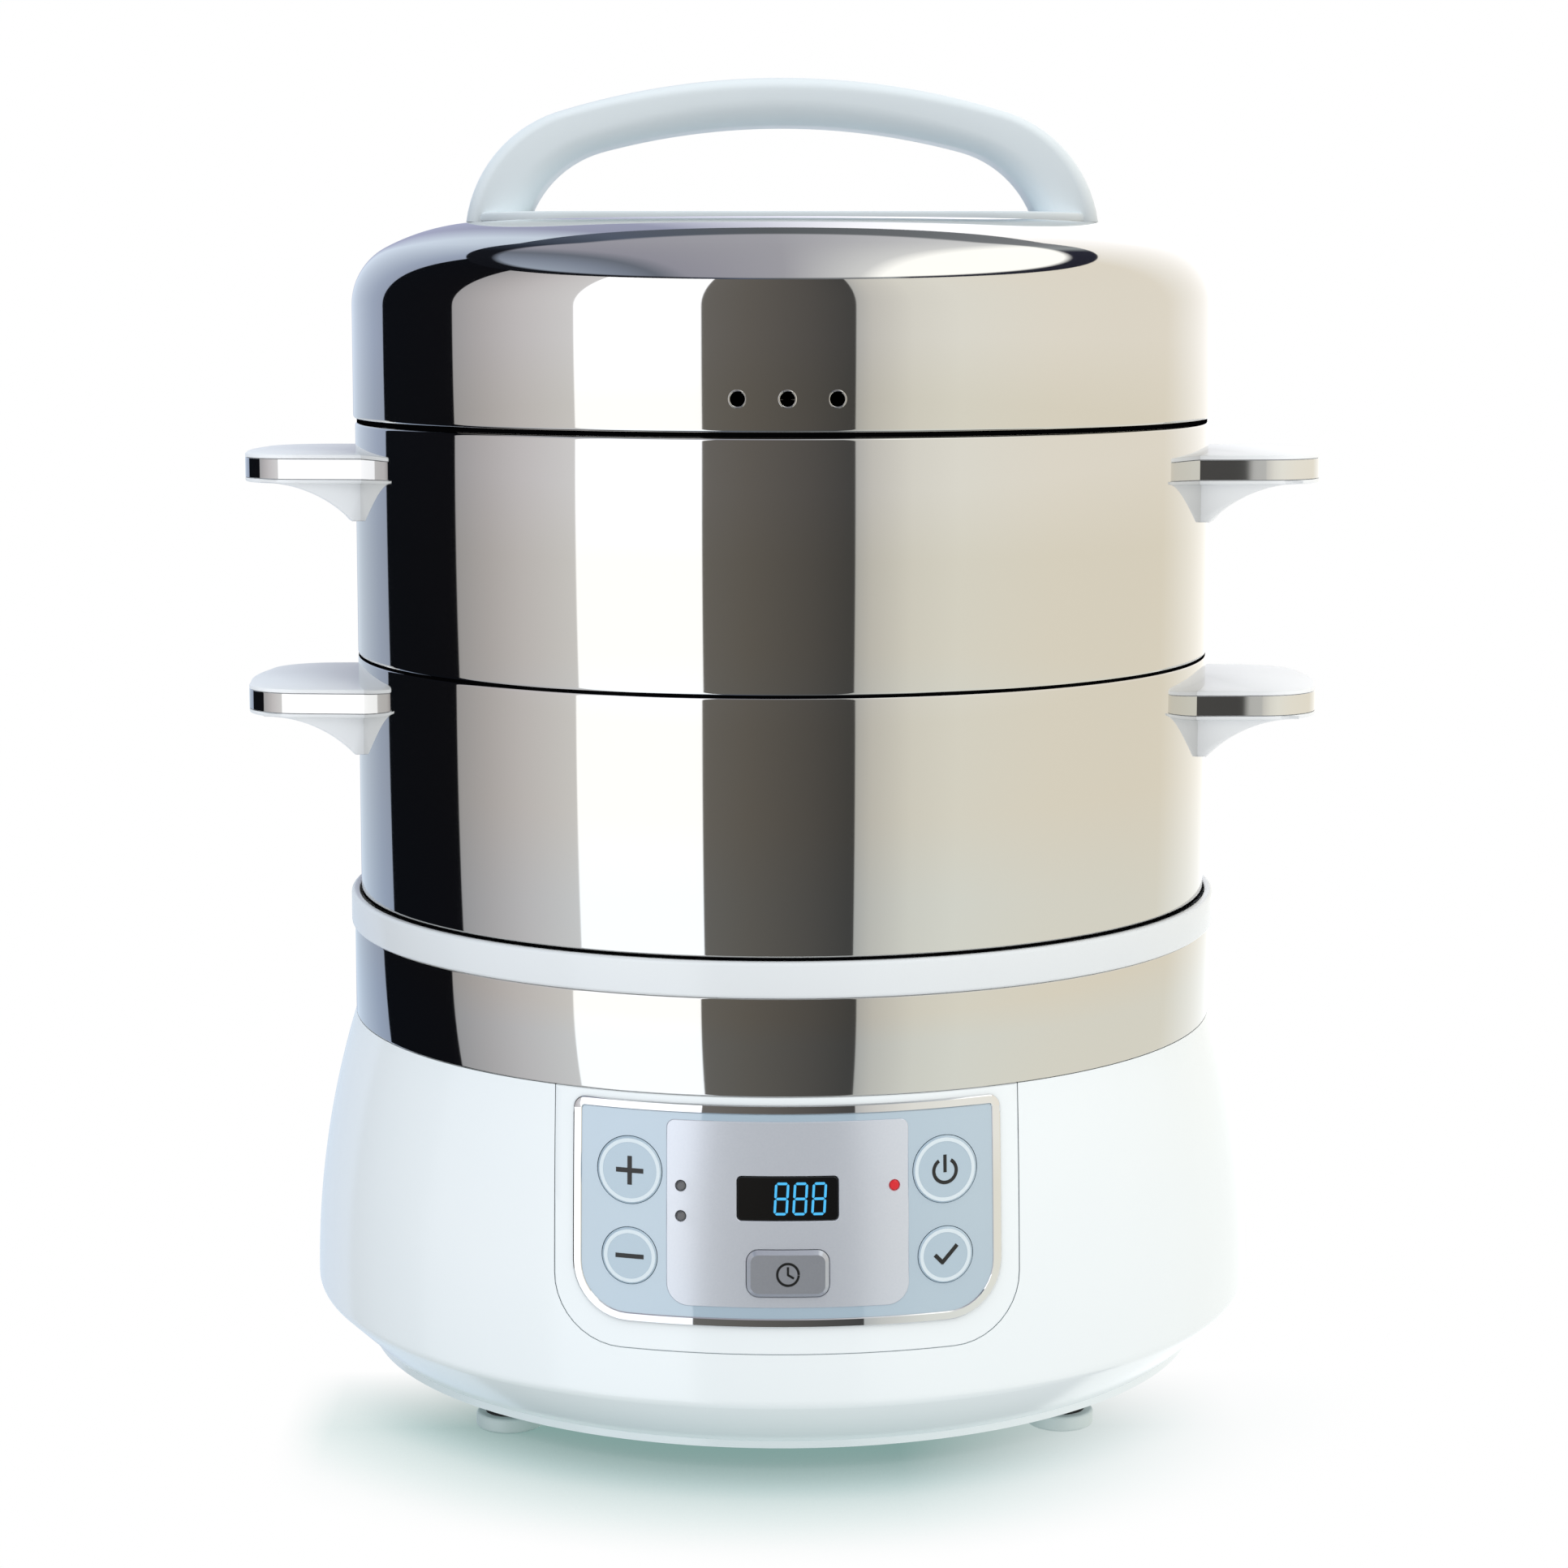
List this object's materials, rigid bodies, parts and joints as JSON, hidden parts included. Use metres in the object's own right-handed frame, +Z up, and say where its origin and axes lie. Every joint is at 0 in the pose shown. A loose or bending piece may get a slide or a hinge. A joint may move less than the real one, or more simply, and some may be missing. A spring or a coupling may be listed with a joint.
{
  "type": "electric food steamer",
  "caption": "Tiered electric food steamer: stacked polished steel baskets with perforated floors, a vented domed lid with an arch handle, a drip tray and a push-button digital base.",
  "frame": {"origin": "on the floor under the centre of the feet, on the axis of the round body", "axes": "+Z up along the body's axis, -Y out of the control panel, X along the side handles"},
  "size_m": [0.302, 0.2672, 0.363],
  "materials": {
    "polished_steel": "mirror-polished stainless steel",
    "white_plastic": "moulded gloss white",
    "handle_plastic": "moulded cool white",
    "chrome_trim": "bright plated",
    "overlay_film": "satin printed film",
    "silver_plate": "satin silver",
    "display_glass": "dark gloss lens",
    "led_lens": "clear moulded lens",
    "foot_rubber": "matte",
    "seal_silicone": "matte silicone",
    "heater_metal": "cast and machined",
    "zinc_screws": "zinc plated",
    "circuit_board": "solder mask",
    "black_moulding": "moulded"
  },
  "bodies": {
    "base": {"base_housing": "white_plastic", "bottom_cover": "white_plastic", "feet": "foot_rubber", "cover_screws": "zinc_screws", "steel_band": "polished_steel", "water_tank": "white_plastic", "heater_plate": "heater_metal", "heater_seal": "seal_silicone", "heating_element": "heater_metal", "thermostat": "black_moulding", "thermal_fuse": "heater_metal", "heater_screws": "zinc_screws", "power_board": "circuit_board", "power_board_screws": "zinc_screws", "power_transformer": "black_moulding", "power_relay": "black_moulding", "panel_insert": "white_plastic", "panel_trim": "chrome_trim", "panel_overlay": "overlay_film", "centre_plate": "silver_plate", "display_window": "display_glass", "indicator_leds": "led_lens", "control_board": "circuit_board", "control_board_screws": "zinc_screws", "tact_switches": "black_moulding", "display_module": "black_moulding", "cord_gland": "foot_rubber"},
    "drip_tray": {"drip_tray": "white_plastic"},
    "lower_basket": {"lower_basket_wall": "polished_steel", "lower_basket_floor": "polished_steel", "lower_handle_screws": "zinc_screws", "lower_right_handle": "handle_plastic", "lower_right_handle_trim": "chrome_trim", "lower_left_handle": "handle_plastic", "lower_left_handle_trim": "chrome_trim"},
    "upper_basket": {"upper_basket_wall": "polished_steel", "upper_basket_floor": "polished_steel", "upper_handle_screws": "zinc_screws", "upper_right_handle": "handle_plastic", "upper_right_handle_trim": "chrome_trim", "upper_left_handle": "handle_plastic", "upper_left_handle_trim": "chrome_trim"},
    "lid": {"lid_shell": "polished_steel", "lid_handle": "handle_plastic", "lid_handle_screws": "zinc_screws", "lid_handle_washers": "zinc_screws"},
    "plus_button": {"plus_button": "overlay_film"},
    "minus_button": {"minus_button": "overlay_film"},
    "power_button": {"power_button": "overlay_film"},
    "set_button": {"set_button": "overlay_film"},
    "delay_button": {"delay_button": "silver_plate"}
  },
  "joints": [
    {"name": "drip_tray_lift", "type": "slide", "parent": "base", "child": "drip_tray", "axis": [0, 0, 1], "range_m": [0, 0.06]},
    {"name": "lower_basket_lift", "type": "slide", "parent": "drip_tray", "child": "lower_basket", "axis": [0, 0, 1], "range_m": [0, 0.08]},
    {"name": "upper_basket_lift", "type": "slide", "parent": "lower_basket", "child": "upper_basket", "axis": [0, 0, 1], "range_m": [0, 0.1]},
    {"name": "lid_lift", "type": "slide", "parent": "upper_basket", "child": "lid", "axis": [0, 0, 1], "range_m": [0, 0.12]},
    {"name": "plus_press", "type": "slide", "parent": "base", "child": "plus_button", "axis": [0, 1, 0], "range_m": [0, 0.0008], "stiffness_N_per_m": 600},
    {"name": "minus_press", "type": "slide", "parent": "base", "child": "minus_button", "axis": [0, 1, 0], "range_m": [0, 0.0008], "stiffness_N_per_m": 600},
    {"name": "power_press", "type": "slide", "parent": "base", "child": "power_button", "axis": [0, 1, 0], "range_m": [0, 0.0008], "stiffness_N_per_m": 600},
    {"name": "set_press", "type": "slide", "parent": "base", "child": "set_button", "axis": [0, 1, 0], "range_m": [0, 0.0008], "stiffness_N_per_m": 600},
    {"name": "delay_press", "type": "slide", "parent": "base", "child": "delay_button", "axis": [0, 1, 0], "range_m": [0, 0.0008], "stiffness_N_per_m": 600}
  ]
}
